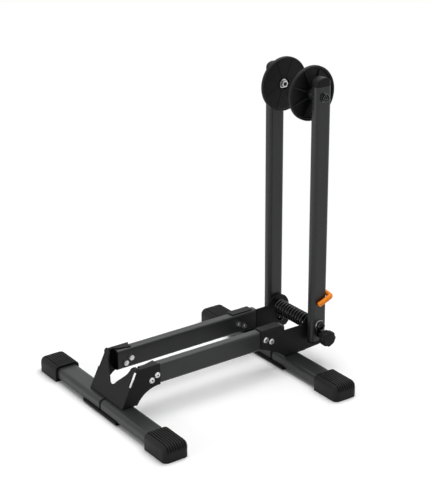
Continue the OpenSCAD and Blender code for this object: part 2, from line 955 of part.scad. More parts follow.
module roller() {
    roller_body();
    roller_rib([[hub_r - 1, web_a + 1], [rim_in_r + 1, web_a + 1],
        [rim_in_r + 1, roller_rim_w - rim_soft - 0.5], [hub_r - 1, pocket_a + hub_step - 1]], rib_out_t);
    roller_rib([[hub_r - 1, hub_in + 0.5], [rim_in_r + 1, web_a - rim_soft], [rim_in_r + 1, web_a + 0.5],
        [hub_r - 1, web_a + 1]], rib_in_t);
}

module roller_near() { color(rubber_black) on_side(false) roller(); }
module roller_far() { color(rubber_black) on_side(true) roller(); }

// Torsion spring

// Corner of a bent wire: an arc of radius r that leaves a-b and joins b-c
function bend(a, b, c, r, n) =
    let (u = (a - b) / norm(a - b), w = (c - b) / norm(c - b), half = acos(u * w) / 2,
        cut = r / tan(half), mid = (u + w) / norm(u + w), centre = b + mid * (r / sin(half)),
        p = b + u * cut - centre, q = cross(cross(p, b + w * cut - centre), p),
        turn = 180 - 2 * half, e = q / norm(q) * r)
    [for (i = [0:n]) centre + p * cos(turn * i / n) + e * sin(turn * i / n)];

coil_end = [coil_x + coil_r * cos(leg_phi), -leg_y, coil_z + coil_r * sin(leg_phi)];
coil_start = [coil_end[0], leg_y, coil_end[2]];
tang_x = coil_end[0] - (coil_end[2] - tang_z) * tan(-leg_phi);
tang_corner = [tang_x, leg_y, tang_z];
tang_tip = [tang_x, tang_end, tang_z];
hook_inner = [hook_x, -leg_y, hook_top];
hook_corner = [hook_x, -hook_y, hook_top - hook_drop];
hook_tip = [hook_x - grip_arm, -hook_y, hook_top - hook_drop - grip_arm * grip_fall];

coil_path = [for (i = [0:coil_turns * rings])
    let (phi = leg_phi + 360 * i / rings)
    [coil_x + coil_r * cos(phi), leg_y - coil_len * i / (coil_turns * rings), coil_z + coil_r * sin(phi)]];
tang_path = concat([tang_tip], bend(tang_tip, tang_corner, coil_start, leg_bend, 4));
hook_path = concat(bend(coil_end, hook_inner, hook_corner, hook_bend, 5),
    bend(hook_inner, hook_corner, hook_tip, hook_bend, 5), [hook_tip]);
wire_path = concat(tang_path, coil_path, hook_path);

// Path directions, and cross directions carried along the path without twist
function heading(path, i) =
    let (a = path[max(i - 1, 0)], b = path[min(i + 1, len(path) - 1)])
    (b - a) / norm(b - a);
function level(v, along) = let (w = v - along * (v * along)) w / norm(w);
function crossways(path, first) =
    [for (i = 0, n = level(first, heading(path, 0)); i < len(path);
        i = i + 1, n = i < len(path) ? level(n, heading(path, i)) : n) n];

module wire(path, r, count) {
    n = len(path);
    across = crossways(path, [1, 0.3, 0.2]);
    points = [for (i = [0:n - 1], k = [0:count - 1])
        let (up = cross(heading(path, i), across[i]), a = 360 * k / count)
        path[i] + (across[i] * cos(a) + up * sin(a)) * r];
    start = [for (k = [1:count - 2]) [0, k, k + 1]];
    finish = [for (k = [1:count - 2]) [(n - 1) * count, (n - 1) * count + k + 1, (n - 1) * count + k]];
    walls = [for (i = [0:n - 2], k = [0:count - 1], half = [0, 1])
        let (a = i * count + k, b = i * count + (k + 1) % count)
        half == 0 ? [a, a + count, b + count] : [a, b + count, b]];
    polyhedron(points = points, faces = concat(start, finish, walls), convexity = 12);
}

// Least clear gap of the wire to itself, between points more than half a turn apart
wire_gap = min([for (i = [0:len(wire_path) - 1], j = [i + 5:1:len(wire_path) - 1])
    if (norm(wire_path[i] - wire_path[j]) > 0) norm(wire_path[i] - wire_path[j])]) - wire_d;
echo(least_gap_of_spring_to_itself_mm = wire_gap);

module torsion_spring() {
    color(satin_black)
        wire(wire_path, wire_r, sides);
}

grip_y0 = post_in + 6;
grip_end = 2.5;
grip_gap = 0.3;
grip_from = [hook_x, -grip_y0, hook_top - hook_drop * (grip_y0 - leg_y) / (hook_y - leg_y)];
grip_over = hook_tip + (hook_tip - hook_corner) / norm(hook_tip - hook_corner) * grip_end;
grip_path = concat([grip_from], bend(hook_inner, hook_corner, hook_tip, hook_bend, 8), [grip_over]);
grip_bore = concat([grip_from + (hook_inner - hook_corner) / norm(hook_inner - hook_corner)],
    bend(hook_inner, hook_corner, hook_tip, hook_bend, 5),
    [hook_tip + (hook_tip - hook_corner) / norm(hook_tip - hook_corner) * pass_gap]);

module spring_grip() {
    color(safety_orange)
        difference() {
            wire(grip_path, grip_r, 12);
            wire(grip_bore, wire_r + grip_gap, sides);
        }
}

// Lock: turning the knob drives a screw through a boss in the near post, and a pad on its tip
// presses on the bracket wall

module lock_boss() {
    color(black_oxide)
        on_side(false)
            ring_y(pivot_x, lock_z, boss_in, post_out + boss_len, boss_r, lock_r + run_gap);
}

module lock_pad() {
    color(rubber_black)
        on_side(false)
            difference() {
                rod_y(pivot_x, lock_z, pad_in, pad_out, pad_r);
                rod_y(pivot_x, lock_z, pad_out - tip_len - fit, pad_out + 1, tip_r + run_gap);
            }
}

module lock_screw() {
    color(zinc)
        on_side(false) {
            rod_y(pivot_x, lock_z, pad_out + fit, knob_in + knob_len - knob_cover, lock_r);
            rod_y(pivot_x, lock_z, pad_out - tip_len, pad_out + 1, tip_r);
        }
}

module knob_outline() {
    lobe_r = 4.6;
    ring_r = knob_d / 2 - lobe_r;
    circle(ring_r + 1.5);
    for (i = [0:knob_lobes - 1])
        rotate(i * 360 / knob_lobes)
            translate([ring_r, 0])
                circle(lobe_r);
}

module lock_knob() {
    neck_r = lock_r + 4.5;
    neck_len = 8;
    soft = 3;
    color(rubber_black)
        on_side(false)
            difference() {
                union() {
                    intersection() {
                        translate([pivot_x, knob_in, lock_z])
                            rotate([-90, 0, 0])
                                linear_extrude(knob_len)
                                    knob_outline();
                        turned(pivot_x, knob_in, lock_z)
                            polygon([[0, 0], [knob_d / 2 - soft, 0], [knob_d / 2, soft],
                                [knob_d / 2, knob_len - soft], [knob_d / 2 - soft, knob_len - 0.5],
                                [0, knob_len]]);
                    }
                    rod_y(pivot_x, lock_z, knob_in - neck_len, knob_in + 1, neck_r);
                }
                rod_y(pivot_x, lock_z, knob_in - neck_len - 1, knob_in + knob_len - knob_cover + fit,
                    lock_r + fit);
            }
}

front_foot_tube_near();
front_foot_tube_far();
rear_foot_tube_near();
rear_foot_tube_far();
front_foot_joiner();
rear_foot_joiner();
front_boot_near();
front_boot_far();
rear_boot_near();
rear_boot_far();
front_clamp_plate();
rear_clamp_plate();
clamp_studs();
clamp_nuts();
front_bracket();
rear_bracket();
rail_near();
rail_far();
rail_plugs();
rail_bolts();
rail_nuts();
pivot_bushes();
pivot_rod();
pivot_washers();
pivot_nuts();
post_near();
post_far();
post_cap_near();
post_cap_far();
post_plugs();
axle_bolts();
axle_sleeves();
axle_washers();
axle_nuts();
roller_near();
roller_far();
torsion_spring();
spring_grip();
lock_boss();
lock_pad();
lock_screw();
lock_knob();
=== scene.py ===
import json
import math

import bmesh
import bpy
from mathutils import Matrix, Vector


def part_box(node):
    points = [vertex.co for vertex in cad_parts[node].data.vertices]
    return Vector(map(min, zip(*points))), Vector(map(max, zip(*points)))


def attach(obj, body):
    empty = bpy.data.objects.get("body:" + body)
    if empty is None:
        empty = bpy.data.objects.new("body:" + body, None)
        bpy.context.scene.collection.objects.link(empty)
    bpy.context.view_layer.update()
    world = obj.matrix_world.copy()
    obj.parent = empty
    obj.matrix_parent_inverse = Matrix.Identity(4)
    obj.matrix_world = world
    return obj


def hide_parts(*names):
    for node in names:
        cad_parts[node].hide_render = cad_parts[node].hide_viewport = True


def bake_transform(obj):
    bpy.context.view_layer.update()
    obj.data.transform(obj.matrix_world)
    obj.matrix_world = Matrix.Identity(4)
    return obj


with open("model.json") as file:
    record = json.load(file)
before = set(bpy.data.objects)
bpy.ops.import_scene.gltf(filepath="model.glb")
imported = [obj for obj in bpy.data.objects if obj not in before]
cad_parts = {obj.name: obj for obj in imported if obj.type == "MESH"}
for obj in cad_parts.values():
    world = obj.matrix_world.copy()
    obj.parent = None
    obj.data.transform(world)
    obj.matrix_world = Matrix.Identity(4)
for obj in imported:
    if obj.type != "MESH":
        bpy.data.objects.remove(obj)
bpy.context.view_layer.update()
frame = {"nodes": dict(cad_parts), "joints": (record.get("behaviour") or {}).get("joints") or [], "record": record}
nodes = frame["nodes"]
mm = 0.001
print("frame loaded:", len(nodes), "CAD nodes")


# small helpers

def srgb(code):
    # '#rrggbb' as it looks on screen -> linear colour for the shaders
    def lin(part):
        value = int(part, 16) / 255
        return value / 12.92 if value <= 0.04045 else ((value + 0.055) / 1.055) ** 2.4
    return tuple(lin(code[i:i + 2]) for i in (1, 3, 5)) + (1.0,)


def addNode(tree, kind, values=None, links=None, **settings):
    # one shader node: settings are its properties, values its sockets, links feed its sockets
    node = tree.nodes.new(kind)
    for name, value in settings.items():
        setattr(node, name, value)
    for socket, value in (values or {}).items():
        node.inputs[socket].default_value = value
    for socket, source in (links or {}).items():
        tree.links.new(source, node.inputs[socket])
    return node


def newMaterial(name):
    material = bpy.data.materials.new(name)
    material.use_nodes = True
    tree = material.node_tree
    tree.nodes.clear()
    out = addNode(tree, "ShaderNodeOutputMaterial")
    shader = addNode(tree, "ShaderNodeBsdfPrincipled")
    tree.links.new(shader.outputs["BSDF"], out.inputs["Surface"])
    place = addNode(tree, "ShaderNodeTexCoord").outputs["Object"]
    return material, tree, shader, place


def perMetre(sizeMm):
    # texture scale for a pattern whose cells are about sizeMm across
    return 1000 / sizeMm


# camera, as the photograph was taken

cameraSet = {
    "place": (-1.44855, -2.08774, 1.30338),
    "yaw": 35.122,      # degrees the view turns from +Y towards +X
    "pitch": 21.854,    # degrees it looks down
    "roll": -0.382,
    "lens": 101.61,     # mm
    "sensor": 36,       # mm along the picture's long side
}


def makeCamera(s):
    yaw, pitch, roll = (math.radians(s[k]) for k in ("yaw", "pitch", "roll"))
    look = Vector((math.sin(yaw) * math.cos(pitch), math.cos(yaw) * math.cos(pitch), -math.sin(pitch)))
    right = Vector((math.cos(yaw), -math.sin(yaw), 0))
    up = right.cross(look)
    right, up = (right * math.cos(roll) + up * math.sin(roll), up * math.cos(roll) - right * math.sin(roll))
    data = bpy.data.cameras.new("photoCamera")
    data.lens = s["lens"]
    data.sensor_width = s["sensor"]
    camera = bpy.data.objects.new("photoCamera", data)
    turn = Matrix((right, up, -look)).transposed().to_4x4()
    camera.matrix_world = Matrix.Translation(Vector(s["place"])) @ turn
    bpy.context.scene.collection.objects.link(camera)
    bpy.context.scene.camera = camera


makeCamera(cameraSet)


# floor, white surroundings and lamps

stageSet = {
    "floorSize": 40.0,      # metres
    "floorColor": "#f2f2f2",
    "floorRoughness": 0.9,
    "floorShine": 0.1,
    "floorLift": 1.05,      # the floor's tone where it is seen: white, with its shadow
    "fadeFrom": 0.34,       # metres from the middle where the floor starts to run into plain white
    "fadeTo": 0.75,
    "skyFill": 0.22,        # what the white surroundings add from all sides
}
lamps = [
    # name, place, aim, size, watts
    ("overhead", (0.5, 0.0, 2.8), (0.0, 0.0, 0.1), 2.8, 76),
    ("windowLeft", (-3.0, 0.2, 0.7), (0.0, 0.0, 0.3), 1.3, 32),
    ("rearRight", (2.2, 1.8, 2.2), (0.0, 0.0, 0.2), 1.5, 8),
]


def seenRays(tree):
    # 1 for what is seen, directly, mirrored or through glass, and 0 for what only lights the part
    path = addNode(tree, "ShaderNodeLightPath")
    seen = path.outputs["Is Camera Ray"]
    for ray in ("Is Glossy Ray", "Is Transmission Ray"):
        either = addNode(tree, "ShaderNodeMath", operation="MAXIMUM", links={0: seen, 1: path.outputs[ray]})
        seen = either.outputs[0]
    return seen


def makeFloor(s):
    bpy.ops.mesh.primitive_plane_add(size=s["floorSize"])
    floor = bpy.context.object
    floor.name = "paleFloor"
    material, tree, shader, place = newMaterial("matt white studio floor")
    shader.inputs["Base Color"].default_value = srgb(s["floorColor"])
    shader.inputs["Roughness"].default_value = s["floorRoughness"]
    shader.inputs["Specular IOR Level"].default_value = s["floorShine"]
    lift = s["floorLift"]
    pale = addNode(tree, "ShaderNodeBsdfDiffuse", {"Color": (lift, lift, lift, 1)})
    away = addNode(tree, "ShaderNodeVectorMath", operation="LENGTH", links={0: place})
    fade = addNode(tree, "ShaderNodeMapRange", {"From Min": s["fadeFrom"], "From Max": s["fadeTo"]},
                   {"Value": away.outputs["Value"]}, interpolation_type="SMOOTHSTEP")
    white = addNode(tree, "ShaderNodeEmission", {"Strength": 1.0})
    faded = addNode(tree, "ShaderNodeMixShader",
                    links={0: fade.outputs["Result"], 1: pale.outputs[0], 2: white.outputs[0]})
    mix = addNode(tree, "ShaderNodeMixShader",
                  links={0: seenRays(tree), 1: shader.outputs["BSDF"], 2: faded.outputs[0]})
    tree.links.new(mix.outputs[0], tree.nodes["Material Output"].inputs["Surface"])
    floor.data.materials.append(material)


def makeSurroundings(s):
    world = bpy.data.worlds.new("studio")
    bpy.context.scene.world = world
    world.use_nodes = True
    tree = world.node_tree
    tree.nodes.clear()
    out = addNode(tree, "ShaderNodeOutputWorld")
    fill = addNode(tree, "ShaderNodeBackground", {"Color": (1, 1, 1, 1), "Strength": s["skyFill"]})
    white = addNode(tree, "ShaderNodeBackground", {"Color": (1, 1, 1, 1), "Strength": 1.0})
    mix = addNode(tree, "ShaderNodeMixShader", links={0: seenRays(tree), 1: fill.outputs[0], 2: white.outputs[0]})
    tree.links.new(mix.outputs[0], out.inputs["Surface"])


def makeLamp(name, place, aim, size, watts):
    data = bpy.data.lights.new(name, "AREA")
    data.shape = "DISK"
    data.size = size
    data.energy = watts
    lamp = bpy.data.objects.new(name, data)
    way = Vector(aim) - Vector(place)
    lamp.matrix_world = Matrix.Translation(place) @ way.to_track_quat("-Z", "Y").to_matrix().to_4x4()
    bpy.context.scene.collection.objects.link(lamp)


bpy.context.scene.view_settings.view_transform = "Standard"
makeFloor(stageSet)
makeSurroundings(stageSet)
for lampSet in lamps:
    makeLamp(*lampSet)
print("camera, floor and lamps made")


# materials

# polyester powder coat, sprayed and baked: satin, a faint orange peel, slightly uneven in tone
powderCoat = {
    "cloudMm": 60,          # soft clouds in its tone
    "cloudDetail": 3.0,
    "grainDetail": 2.0,
    "smoother": 0.05,       # how far its roughness strays
    "rougher": 0.06,
    "bump": 0.12,
    "depthMm": 0.3,         # the peel is drawn deeper than it is, so that it shows
}
# moulded plastic or rubber: matt, with the fine grain of the mould
moulded = {
    "cloudMm": 25,
    "cloudDetail": 4.0,
    "grainDetail": 2.0,
    "smoother": 0.07,
    "rougher": 0.07,
    "bump": 0.25,
    "depthMm": 0.08,
}
# bright zinc on turned steel: grey metal with a faint yellow and blue cast and fine scratches
zincSet = {
    "cool": "#c4c9d0",
    "warm": "#dcd9cf",
    "castMm": 5,
    "castDetail": 2.0,
    "scratchMm": 0.8,
    "scratchDetail": 3.0,
    "smoothest": 0.18,
    "roughest": 0.36,
}
# black oxide on turned steel: oily and nearly black, rubbed through to bare metal along its edges
oxideSet = {
    "black": "#080809",
    "bare": "#b9bcc0",
    "shine": 0.16,
    "smoothest": 0.10,
    "roughest": 0.22,
    "edgeMm": 1.2,          # how far from an edge it is rubbed
    "edgeSamples": 6,
    "rubbedFrom": 0.97,     # cosine of how far the surface turns there
    "rubbedFull": 0.86,
    "patchMm": 3,
    "patchDetail": 3.0,
    "patchFrom": 0.35,
    "patchFull": 0.6,
}


def unevenTone(tree, shader, place, sizeMm, detail, dark, color):
    # two close tones that run into each other in soft clouds
    cloud = addNode(tree, "ShaderNodeTexNoise", {"Scale": perMetre(sizeMm), "Detail": detail}, {"Vector": place})
    tone = addNode(tree, "ShaderNodeMix", {"A": srgb(dark), "B": srgb(color)}, {"Factor": cloud.outputs["Fac"]},
                   data_type="RGBA")
    tree.links.new(tone.outputs["Result"], shader.inputs["Base Color"])


def grainedSkin(s, name, color, dark, grainMm, roughness, shine):
    material, tree, shader, place = newMaterial(name)
    unevenTone(tree, shader, place, s["cloudMm"], s["cloudDetail"], dark, color)
    grain = addNode(tree, "ShaderNodeTexNoise", {"Scale": perMetre(grainMm), "Detail": s["grainDetail"]},
                    {"Vector": place})
    gloss = addNode(tree, "ShaderNodeMapRange",
                    {"To Min": roughness - s["smoother"], "To Max": roughness + s["rougher"]},
                    {"Value": grain.outputs["Fac"]})
    tree.links.new(gloss.outputs["Result"], shader.inputs["Roughness"])
    bump = addNode(tree, "ShaderNodeBump", {"Strength": s["bump"], "Distance": s["depthMm"] * mm},
                   {"Height": grain.outputs["Fac"]})
    tree.links.new(bump.outputs["Normal"], shader.inputs["Normal"])
    shader.inputs["Specular IOR Level"].default_value = shine
    return material


def zincPlate(s, name):
    material, tree, shader, place = newMaterial(name)
    unevenTone(tree, shader, place, s["castMm"], s["castDetail"], s["cool"], s["warm"])
    shader.inputs["Metallic"].default_value = 1.0
    scratch = addNode(tree, "ShaderNodeTexNoise",
                      {"Scale": perMetre(s["scratchMm"]), "Detail": s["scratchDetail"]}, {"Vector": place})
    gloss = addNode(tree, "ShaderNodeMapRange", {"To Min": s["smoothest"], "To Max": s["roughest"]},
                    {"Value": scratch.outputs["Fac"]})
    tree.links.new(gloss.outputs["Result"], shader.inputs["Roughness"])
    return material


def blackOxide(s, name):
    material, tree, shader, place = newMaterial(name)
    shape = addNode(tree, "ShaderNodeNewGeometry")
    softer = addNode(tree, "ShaderNodeBevel", {"Radius": s["edgeMm"] * mm}, samples=s["edgeSamples"])
    turn = addNode(tree, "ShaderNodeVectorMath", {}, {0: shape.outputs["Normal"], 1: softer.outputs["Normal"]},
                   operation="DOT_PRODUCT")
    edge = addNode(tree, "ShaderNodeMapRange", {"From Min": s["rubbedFrom"], "From Max": s["rubbedFull"]},
                   {"Value": turn.outputs["Value"]})
    patch = addNode(tree, "ShaderNodeTexNoise", {"Scale": perMetre(s["patchMm"]), "Detail": s["patchDetail"]},
                    {"Vector": place})
    hold = addNode(tree, "ShaderNodeMapRange", {"From Min": s["patchFrom"], "From Max": s["patchFull"]},
                   {"Value": patch.outputs["Fac"]})
    worn = addNode(tree, "ShaderNodeMath", {}, {0: edge.outputs["Result"], 1: hold.outputs["Result"]},
                   operation="MULTIPLY")
    tone = addNode(tree, "ShaderNodeMix", {"A": srgb(s["black"]), "B": srgb(s["bare"])},
                   {"Factor": worn.outputs["Value"]}, data_type="RGBA")
    tree.links.new(tone.outputs["Result"], shader.inputs["Base Color"])
    tree.links.new(worn.outputs["Value"], shader.inputs["Metallic"])
    gloss = addNode(tree, "ShaderNodeMapRange", {"To Min": s["smoothest"], "To Max": s["roughest"]},
                    {"Value": patch.outputs["Fac"]})
    tree.links.new(gloss.outputs["Result"], shader.inputs["Roughness"])
    shader.inputs["Specular IOR Level"].default_value = s["shine"]
    return material


skins = [
    # finish, how it was made, material, colour, darker colour, grain in mm, roughness, shine
    # the grain is drawn coarser than it is, so that it shows from close by
    ("tube_paint", powderCoat, "charcoal powder coat, baked", "#242625", "#1f2120", 1.2, 0.36, 0.37),
    ("bracket_paint", powderCoat, "black powder coat, baked", "#1d1d1d", "#181818", 1.0, 0.5, 0.12),
    # a darker copy of the black bracket paint: painted shade for the clamp plates, which sit in shadow under the
    # feet
    ("thin_paint", powderCoat, "black powder coat, sprayed thin", "#0f0f0f", "#0b0b0b", 1.0, 0.55, 0.06),
    ("spring_steel", powderCoat, "black coated spring wire, drawn", "#080808", "#050505", 0.8, 0.15, 0.26),
    ("boot_rubber", moulded, "black rubber, moulded", "#1d1d1d", "#181818", 0.7, 0.55, 0.14),
    ("black_plastic", moulded, "black polyethylene, moulded", "#0e0e0e", "#0a0a0a", 0.8, 0.6, 0.06),
    ("cap_plastic", moulded, "grey-black polyethylene, moulded", "#141515", "#0f1010", 0.8, 0.46, 0.13),
    ("roller_plastic", moulded, "black nylon, moulded", "#141415", "#0f0f10", 0.9, 0.5, 0.18),
    ("knob_plastic", moulded, "black nylon, spark-eroded mould", "#181818", "#131313", 0.6, 0.5, 0.13),
    ("orange_grip", moulded, "orange vinyl, dipped", "#fd9009", "#f28406", 1.0, 0.36, 0.3),
]
finishes = {slot: grainedSkin(made, *look) for slot, made, *look in skins}
finishes["black_steel"] = blackOxide(oxideSet, "black oxide steel, oiled")
finishes["zinc_steel"] = zincPlate(zincSet, "bright zinc plate on steel, turned")
finishes["worn_steel"] = zincPlate(zincSet, "black oxide steel, worn bright")

# these nodes show another finish than the one their slot names
shownAs = {
    "pivot_washers": "worn_steel",
    "pivot_rod": "black_steel",
    # the clamp plates take the darker copy of the bracket paint: painted shade where they lie in shadow under the
    # feet
    "front_clamp_plate": "thin_paint",
    "rear_clamp_plate": "thin_paint",
}
for part in frame["record"]["subparts"]:
    surface = nodes[part["node"]].data.materials
    surface.clear()
    surface.append(finishes[shownAs.get(part["node"], part["material_slot"])])
print("materials made and assigned:", len(finishes))


# broken edges on the CAD pieces: real corners are never knife sharp, and they catch the light

edgeSet = {
    "mergeWithin": 0.001,   # mm between points that are one
    "flatWithin": 0.5,      # degrees between faces that are one
    "sharpOver": 35,        # degrees
    "steps": 3,
    "widths": {             # mm
        "pivot_washers": 0.5,
        "pivot_nuts": 0.6,
        "axle_nuts": 0.5,
        "axle_washers": 0.3,
        "lock_boss": 0.6,
        "post_cap_near": 0.7,
        "post_cap_far": 0.7,
    },
}


def mergePoints(s, node):
    weld = node.modifiers.new("mergedPoints", "WELD")
    weld.merge_threshold = s["mergeWithin"] * mm


def breakEdges(s, node, width):
    mergePoints(s, node)
    flats = node.modifiers.new("flatFaces", "DECIMATE")
    flats.decimate_type = "DISSOLVE"
    flats.angle_limit = math.radians(s["flatWithin"])
    bevel = node.modifiers.new("brokenEdge", "BEVEL")
    bevel.width = width * mm
    bevel.segments = s["steps"]
    bevel.limit_method = "ANGLE"
    bevel.angle_limit = math.radians(s["sharpOver"])
    bevel.harden_normals = True


for name, width in edgeSet["widths"].items():
    breakEdges(edgeSet, nodes[name], width)
mergePoints(edgeSet, nodes["lock_knob"])    # the pole of its dome has two points in one place
print("edges broken on", len(edgeSet["widths"]), "CAD nodes")


# wire bending: a round bar is drawn on, straight or round a former, from its last ring of edges

def startBar(bm, at, way, radius, sides):
    turn = way.to_track_quat("Z", "Y").to_matrix().to_4x4()
    made = bmesh.ops.create_circle(bm, cap_ends=True, segments=sides, radius=radius,
                                   matrix=Matrix.Translation(at) @ turn)
    return list({edge for vert in made["verts"] for edge in vert.link_edges})


def ringIn(geom):
    # the edges that lie wholly in the newest ring of vertices
    verts = {g for g in geom if isinstance(g, bmesh.types.BMVert)}
    return [g for g in geom if isinstance(g, bmesh.types.BMEdge) and set(g.verts) <= verts]


def ringVerts(ring):
    return list({vert for edge in ring for vert in edge.verts})


def drawOn(bm, ring, way):
    made = bmesh.ops.extrude_edge_only(bm, edges=ring)["geom"]
    ring = ringIn(made)
    bmesh.ops.translate(bm, verts=ringVerts(ring), vec=way)
    return ring


def swell(bm, ring, centre, factor):
    bmesh.ops.scale(bm, vec=(factor, factor, factor), space=Matrix.Translation(-centre), verts=ringVerts(ring))


def wrapRound(bm, ring, centre, axis, angle, steps, rise=(0, 0, 0)):
    made = bmesh.ops.spin(bm, geom=ring + ringVerts(ring), cent=centre, axis=axis, angle=angle,
                          steps=steps, dvec=rise, use_duplicate=False)["geom_last"]
    return ringIn(made)


def bendAlong(bm, ring, points, radius, steps):
    # straight runs between the points, with a bend of that radius at each inner one
    at = points[0]
    for i in range(1, len(points) - 1):
        before, after = (points[i] - points[i - 1]).normalized(), (points[i + 1] - points[i]).normalized()
        angle = before.angle(after)
        cut = radius * math.tan(angle / 2)
        axis = before.cross(after).normalized()
        ring = drawOn(bm, ring, points[i] - before * cut - at)
        ring = wrapRound(bm, ring, points[i] - before * cut + axis.cross(before) * radius, axis, angle, steps)
        at = points[i] + after * cut
    return drawOn(bm, ring, points[-1] - at)


# what every new piece goes through

smoothUnder = 40    # degrees: faces that meet at less are shaded as one curve


def roundOff(bm, edges, radius, steps):
    bmesh.ops.bevel(bm, geom=edges, offset=radius, offset_type="OFFSET", segments=steps, profile=0.5,
                    affect="EDGES", material=-1)


def finishPiece(bm, name, slot):
    # from millimetres to metres, faces outwards, smooth where it curves
    bmesh.ops.scale(bm, vec=(mm, mm, mm), verts=bm.verts)
    bmesh.ops.recalc_face_normals(bm, faces=bm.faces)
    for face in bm.faces:
        face.smooth = True
    for edge in bm.edges:
        edge.smooth = len(edge.link_faces) < 2 or edge.calc_face_angle() < math.radians(smoothUnder)
    mesh = bpy.data.meshes.new(name)
    bm.to_mesh(mesh)
    bm.free()
    mesh.materials.append(finishes[slot])
    piece = bpy.data.objects.new(name, mesh)
    bpy.context.scene.collection.objects.link(piece)
    return piece


# rubber boots: a rounded shoe with grooves that run over its toe

bootSet = {
    "toe": 14,              # all in mm: how the top rounds off to the toe, and to the sides
    "toeSteps": 7,
    "shoulder": 11,
    "shoulderSteps": 6,
    "hem": 1.2,             # soft edge at the floor and at the mouth
    "hemSteps": 2,
    "grooves": 8,
    "groovePitch": 5.33,
    "grooveWidth": 2.5,
    "grooveDepth": 2.8,
    "grooveLow": 21,        # the grooves end this high on the toe
    "wall": 3.6,            # rubber round the mouth
    "mouthDepth": 2.5,
}


def edgesWhere(bm, test):
    return [edge for edge in bm.edges if all(test(vert.co) for vert in edge.verts)]


def makeBoot(s, node, name):
    # made with its mouth at the origin and its toe towards -Y, then set in its node's place
    low, high = (Vector(corner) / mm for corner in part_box(node))
    wide, long, tall = high - low
    near = 0.01             # closer than this is the same place
    bm = bmesh.new()
    bmesh.ops.create_cube(bm, size=1, matrix=Matrix.Translation((0, -long / 2, tall / 2))
                          @ Matrix.Diagonal((wide, long, tall, 1)))
    roundOff(bm, edgesWhere(bm, lambda c: c.y < near - long and c.z > tall - near), s["toe"], s["toeSteps"])
    sides = [edge for side in (-1, 1) for edge in edgesWhere(bm, lambda c: c.x * side > wide / 2 - near)
             if max(v.co.z for v in edge.verts) > near and min(v.co.y for v in edge.verts) < -near]
    roundOff(bm, sides, s["shoulder"], s["shoulderSteps"])
    roundOff(bm, edgesWhere(bm, lambda c: c.z < near), s["hem"], s["hemSteps"])
    roundOff(bm, edgesWhere(bm, lambda c: c.y > -near and c.z > s["hem"] - near), s["hem"], s["hemSteps"])

    # the grooves' sides and ends are scored, the mouth is let in, and the grooves' floors are sunk
    first = -s["groovePitch"] * (s["grooves"] - 1) / 2
    middles = [first + s["groovePitch"] * i for i in range(s["grooves"])]
    cuts = [((x + side * s["grooveWidth"] / 2, 0, 0), (1, 0, 0)) for x in middles for side in (-1, 1)]
    for place, normal in cuts + [((0, 0, s["grooveLow"]), (0, 0, 1))]:
        bmesh.ops.bisect_plane(bm, geom=bm.verts[:] + bm.edges[:] + bm.faces[:], dist=near / 10,
                               plane_co=place, plane_no=normal)
    mouth = [face for face in bm.faces if face.calc_center_median().y > -near]
    bmesh.ops.inset_region(bm, faces=mouth, thickness=s["wall"], depth=-s["mouthDepth"], use_even_offset=True)
    floors = []
    for face in bm.faces:
        middle = face.calc_center_median()
        if middle.z > s["grooveLow"] and middle.y < -s["hem"] and any(
                abs(middle.x - x) < s["grooveWidth"] / 2 for x in middles):
            floors.append(face)
    made = bmesh.ops.extrude_face_region(bm, geom=floors)["geom"]
    bmesh.ops.delete(bm, geom=floors, context="FACES")
    sunk = [g for g in made if isinstance(g, bmesh.types.BMVert)]
    toeStart = s["toe"] - long
    onTop = [v for v in sunk if v.co.y > toeStart - near]
    onToe = [v for v in sunk if v.co.y <= toeStart - near]
    bmesh.ops.translate(bm, verts=onTop, vec=(0, 0, -s["grooveDepth"]))
    less = 1 - s["grooveDepth"] / s["toe"]
    bmesh.ops.scale(bm, verts=onToe, vec=(1, less, less),
                    space=Matrix.Translation((0, -toeStart, s["toe"] - tall)))

    if low.y > 0:
        bmesh.ops.rotate(bm, verts=bm.verts, matrix=Matrix.Rotation(math.pi, 3, "Z"))
    mouthY = low.y if low.y > 0 else high.y
    bmesh.ops.translate(bm, verts=bm.verts, vec=((low.x + high.x) / 2, mouthY, low.z))
    piece = finishPiece(bm, name, "boot_rubber")
    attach(piece, "base")
    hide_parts(node)
    return piece


for end in ("front", "rear"):
    for side in ("near", "far"):
        boot = makeBoot(bootSet, f"{end}_boot_{side}", f"{end}Boot{side.title()}")
print("boots made:", len(boot.data.polygons), "faces each")


# seam rings: the joiner's collar that shows between the two tubes of a foot

ringSet = {
    "width": 6.4,           # all in mm
    "proud": 0.3,
    "round": 8.3,
    "roundSteps": 6,
}


def makeRing(s, node, name):
    low, high = (Vector(corner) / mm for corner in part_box(node))
    wide, _, tall = high - low
    bm = bmesh.new()
    bmesh.ops.create_cube(bm, size=1, matrix=Matrix.Translation((low + high) / 2) @ Matrix.Diagonal(
        (wide + 2 * s["proud"], s["width"], tall + 2 * s["proud"], 1)))
    along = [edge for edge in bm.edges if abs(edge.verts[0].co.y - edge.verts[1].co.y) > s["width"] / 2]
    roundOff(bm, along, s["round"], s["roundSteps"])
    piece = finishPiece(bm, name, "black_plastic")
    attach(piece, "base")


makeRing(ringSet, "front_foot_joiner", "frontSeamRing")
makeRing(ringSet, "rear_foot_joiner", "rearSeamRing")


# welds in the front bracket's two upper corners: a bead between plate and cheek, and a flat run to the lip

weldSet = {
    "beadRadius": 4.1,                  # all in mm
    "beadFlat": 0.75,                   # thickness to height
    "beadLean": 26,                     # degrees, as the front plate leans
    "beadSides": 14,
    "beadAt": (-209.8, 100.2),          # x and z
    "beadFrom": 50.5,                   # y, near and far
    "beadTo": 58.2,
    "beadEnd": 0.8,                     # its rounded end, and how small that gets
    "beadEndSize": 0.7,
    "flatFrom": (-209.5, 51.5, 100.15),
    "flatTo": (-199.0, 58.6, 102.45),
    "flatRound": 0.8,
    "flatSteps": 2,
}


